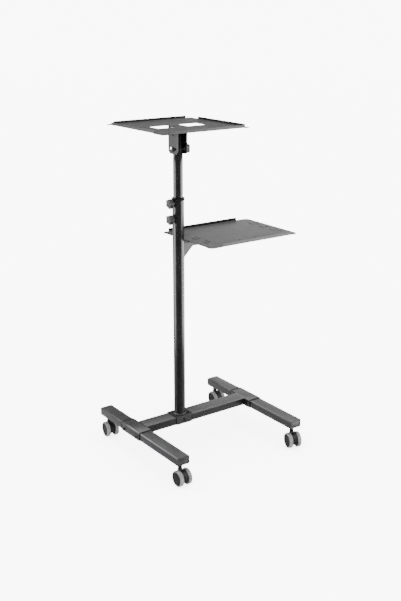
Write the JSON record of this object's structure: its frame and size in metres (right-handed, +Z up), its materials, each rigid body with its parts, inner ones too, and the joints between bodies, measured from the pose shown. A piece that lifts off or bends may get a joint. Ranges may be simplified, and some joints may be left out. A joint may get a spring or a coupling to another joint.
{
  "type": "projector table",
  "caption": "Mobile projector table: telescopic post on an H base with casters, a tilting top shelf and a cantilevered lower shelf.",
  "frame": {"origin": "middle of the table's outline as seen from above, on the floor", "axes": "+Z up; +X along the cross beam, from the post's side to the side that the lower shelf reaches over; -Y towards the braked casters"},
  "size_m": [0.6582, 0.553, 1.2042],
  "materials": {
    "powder_coat": "satin black powder coat",
    "moulded_plastic": "fine grained black plastic",
    "dark_steel": "blackened steel",
    "wheel_tread": "grey non-marking tread"
  },
  "bodies": {
    "base": {"leg_left": "powder_coat", "leg_right": "powder_coat", "end_cap_front_left": "moulded_plastic", "end_cap_front_right": "moulded_plastic", "end_cap_rear_left": "moulded_plastic", "end_cap_rear_right": "moulded_plastic", "saddle_left": "powder_coat", "saddle_right": "powder_coat", "saddle_bolt_front_left": "dark_steel", "saddle_bolt_front_right": "dark_steel", "saddle_bolt_rear_left": "dark_steel", "saddle_bolt_rear_right": "dark_steel", "cross_beam": "powder_coat", "post_foot_bracket": "powder_coat", "foot_cross_bolt": "dark_steel", "foot_bolt_front_left": "dark_steel", "foot_bolt_front_right": "dark_steel", "foot_bolt_rear_left": "dark_steel", "foot_bolt_rear_right": "dark_steel", "lower_post_tube": "powder_coat", "post_collar": "moulded_plastic", "clamp_boss_upper": "powder_coat", "clamp_boss_lower": "powder_coat", "lower_shelf": "powder_coat", "shelf_arm": "powder_coat", "shelf_screw_near": "dark_steel", "shelf_screw_far": "dark_steel", "caster_stem_front_left": "dark_steel", "caster_stem_front_right": "dark_steel", "caster_stem_rear_left": "dark_steel", "caster_stem_rear_right": "dark_steel"},
    "upper_post": {"upper_post_tube": "powder_coat", "post_glide": "moulded_plastic", "tilt_pivot_bolt": "dark_steel", "tilt_clamp_bolt": "dark_steel"},
    "tilting_shelf": {"upper_shelf": "powder_coat", "tilt_yoke": "powder_coat"},
    "upper_clamp_knob": {"post_knob_upper": "moulded_plastic"},
    "lower_clamp_knob": {"post_knob_lower": "moulded_plastic"},
    "tilt_clamp_knob": {"tilt_knob": "moulded_plastic"},
    "swivel_front_left": {"caster_housing_front_left": "moulded_plastic", "caster_axle_front_left": "dark_steel"},
    "wheel_left_front_left": {"caster_wheel_left_front_left": "wheel_tread"},
    "wheel_right_front_left": {"caster_wheel_right_front_left": "wheel_tread"},
    "brake_front_left": {"brake_lever_front_left": "moulded_plastic"},
    "swivel_front_right": {"caster_housing_front_right": "moulded_plastic", "caster_axle_front_right": "dark_steel"},
    "wheel_left_front_right": {"caster_wheel_left_front_right": "wheel_tread"},
    "wheel_right_front_right": {"caster_wheel_right_front_right": "wheel_tread"},
    "brake_front_right": {"brake_lever_front_right": "moulded_plastic"},
    "swivel_rear_left": {"caster_housing_rear_left": "moulded_plastic", "caster_axle_rear_left": "dark_steel"},
    "wheel_left_rear_left": {"caster_wheel_left_rear_left": "wheel_tread"},
    "wheel_right_rear_left": {"caster_wheel_right_rear_left": "wheel_tread"},
    "swivel_rear_right": {"caster_housing_rear_right": "moulded_plastic", "caster_axle_rear_right": "dark_steel"},
    "wheel_left_rear_right": {"caster_wheel_left_rear_right": "wheel_tread"},
    "wheel_right_rear_right": {"caster_wheel_right_rear_right": "wheel_tread"}
  },
  "joints": [
    {"name": "post_height", "type": "slide", "parent": "base", "child": "upper_post", "axis": [0, 0, 1], "range_m": [-0.116, 0.232]},
    {"name": "shelf_tilt", "type": "hinge", "parent": "upper_post", "child": "tilting_shelf", "pos_m": [-0.1049, 0.05373, 1.168], "axis": [1, 0, 0], "range_deg": [-17, 17]},
    {"name": "upper_knob_turn", "type": "hinge", "parent": "base", "child": "upper_clamp_knob", "pos_m": [-0.1049, 0.05373, 0.925], "axis": [-1, 0, 0], "continuous": true},
    {"name": "lower_knob_turn", "type": "hinge", "parent": "base", "child": "lower_clamp_knob", "pos_m": [-0.1049, 0.05373, 0.867], "axis": [-1, 0, 0], "continuous": true},
    {"name": "tilt_knob_turn", "type": "hinge", "parent": "upper_post", "child": "tilt_clamp_knob", "pos_m": [-0.1049, 0.05373, 1.1147], "axis": [1, 0, 0], "continuous": true},
    {"name": "swivel_turn_front_left", "type": "hinge", "parent": "base", "child": "swivel_front_left", "pos_m": [-0.2979, -0.22927, 0.06], "axis": [0, 0, 1], "continuous": true},
    {"name": "spin_left_front_left", "type": "hinge", "parent": "swivel_front_left", "child": "wheel_left_front_left", "pos_m": [-0.2979, -0.24327, 0.029], "axis": [1, 0, 0], "continuous": true},
    {"name": "spin_right_front_left", "type": "hinge", "parent": "swivel_front_left", "child": "wheel_right_front_left", "pos_m": [-0.2979, -0.24327, 0.029], "axis": [1, 0, 0], "continuous": true},
    {"name": "brake_press_front_left", "type": "hinge", "parent": "swivel_front_left", "child": "brake_front_left", "pos_m": [-0.2979, -0.24277, 0.059], "axis": [1, 0, 0], "range_deg": [0, 15]},
    {"name": "swivel_turn_front_right", "type": "hinge", "parent": "base", "child": "swivel_front_right", "pos_m": [0.2121, -0.22927, 0.06], "axis": [0, 0, 1], "continuous": true},
    {"name": "spin_left_front_right", "type": "hinge", "parent": "swivel_front_right", "child": "wheel_left_front_right", "pos_m": [0.20848, -0.2428, 0.029], "axis": [0.9659, -0.2588, 0], "continuous": true},
    {"name": "spin_right_front_right", "type": "hinge", "parent": "swivel_front_right", "child": "wheel_right_front_right", "pos_m": [0.20848, -0.2428, 0.029], "axis": [0.9659, -0.2588, 0], "continuous": true},
    {"name": "brake_press_front_right", "type": "hinge", "parent": "swivel_front_right", "child": "brake_front_right", "pos_m": [0.20861, -0.24231, 0.059], "axis": [0.9659, -0.2588, 0], "range_deg": [0, 15]},
    {"name": "swivel_turn_rear_left", "type": "hinge", "parent": "base", "child": "swivel_rear_left", "pos_m": [-0.2979, 0.25853, 0.06], "axis": [0, 0, 1], "continuous": true},
    {"name": "spin_left_rear_left", "type": "hinge", "parent": "swivel_rear_left", "child": "wheel_left_rear_left", "pos_m": [-0.29961, 0.24463, 0.029], "axis": [0.9925, -0.1219, 0], "continuous": true},
    {"name": "spin_right_rear_left", "type": "hinge", "parent": "swivel_rear_left", "child": "wheel_right_rear_left", "pos_m": [-0.29961, 0.24463, 0.029], "axis": [0.9925, -0.1219, 0], "continuous": true},
    {"name": "swivel_turn_rear_right", "type": "hinge", "parent": "base", "child": "swivel_rear_right", "pos_m": [0.2121, 0.25853, 0.06], "axis": [0, 0, 1], "continuous": true},
    {"name": "spin_left_rear_right", "type": "hinge", "parent": "swivel_rear_right", "child": "wheel_left_rear_right", "pos_m": [0.21112, 0.24456, 0.029], "axis": [0.9976, -0.0698, 0], "continuous": true},
    {"name": "spin_right_rear_right", "type": "hinge", "parent": "swivel_rear_right", "child": "wheel_right_rear_right", "pos_m": [0.21112, 0.24456, 0.029], "axis": [0.9976, -0.0698, 0], "continuous": true}
  ]
}
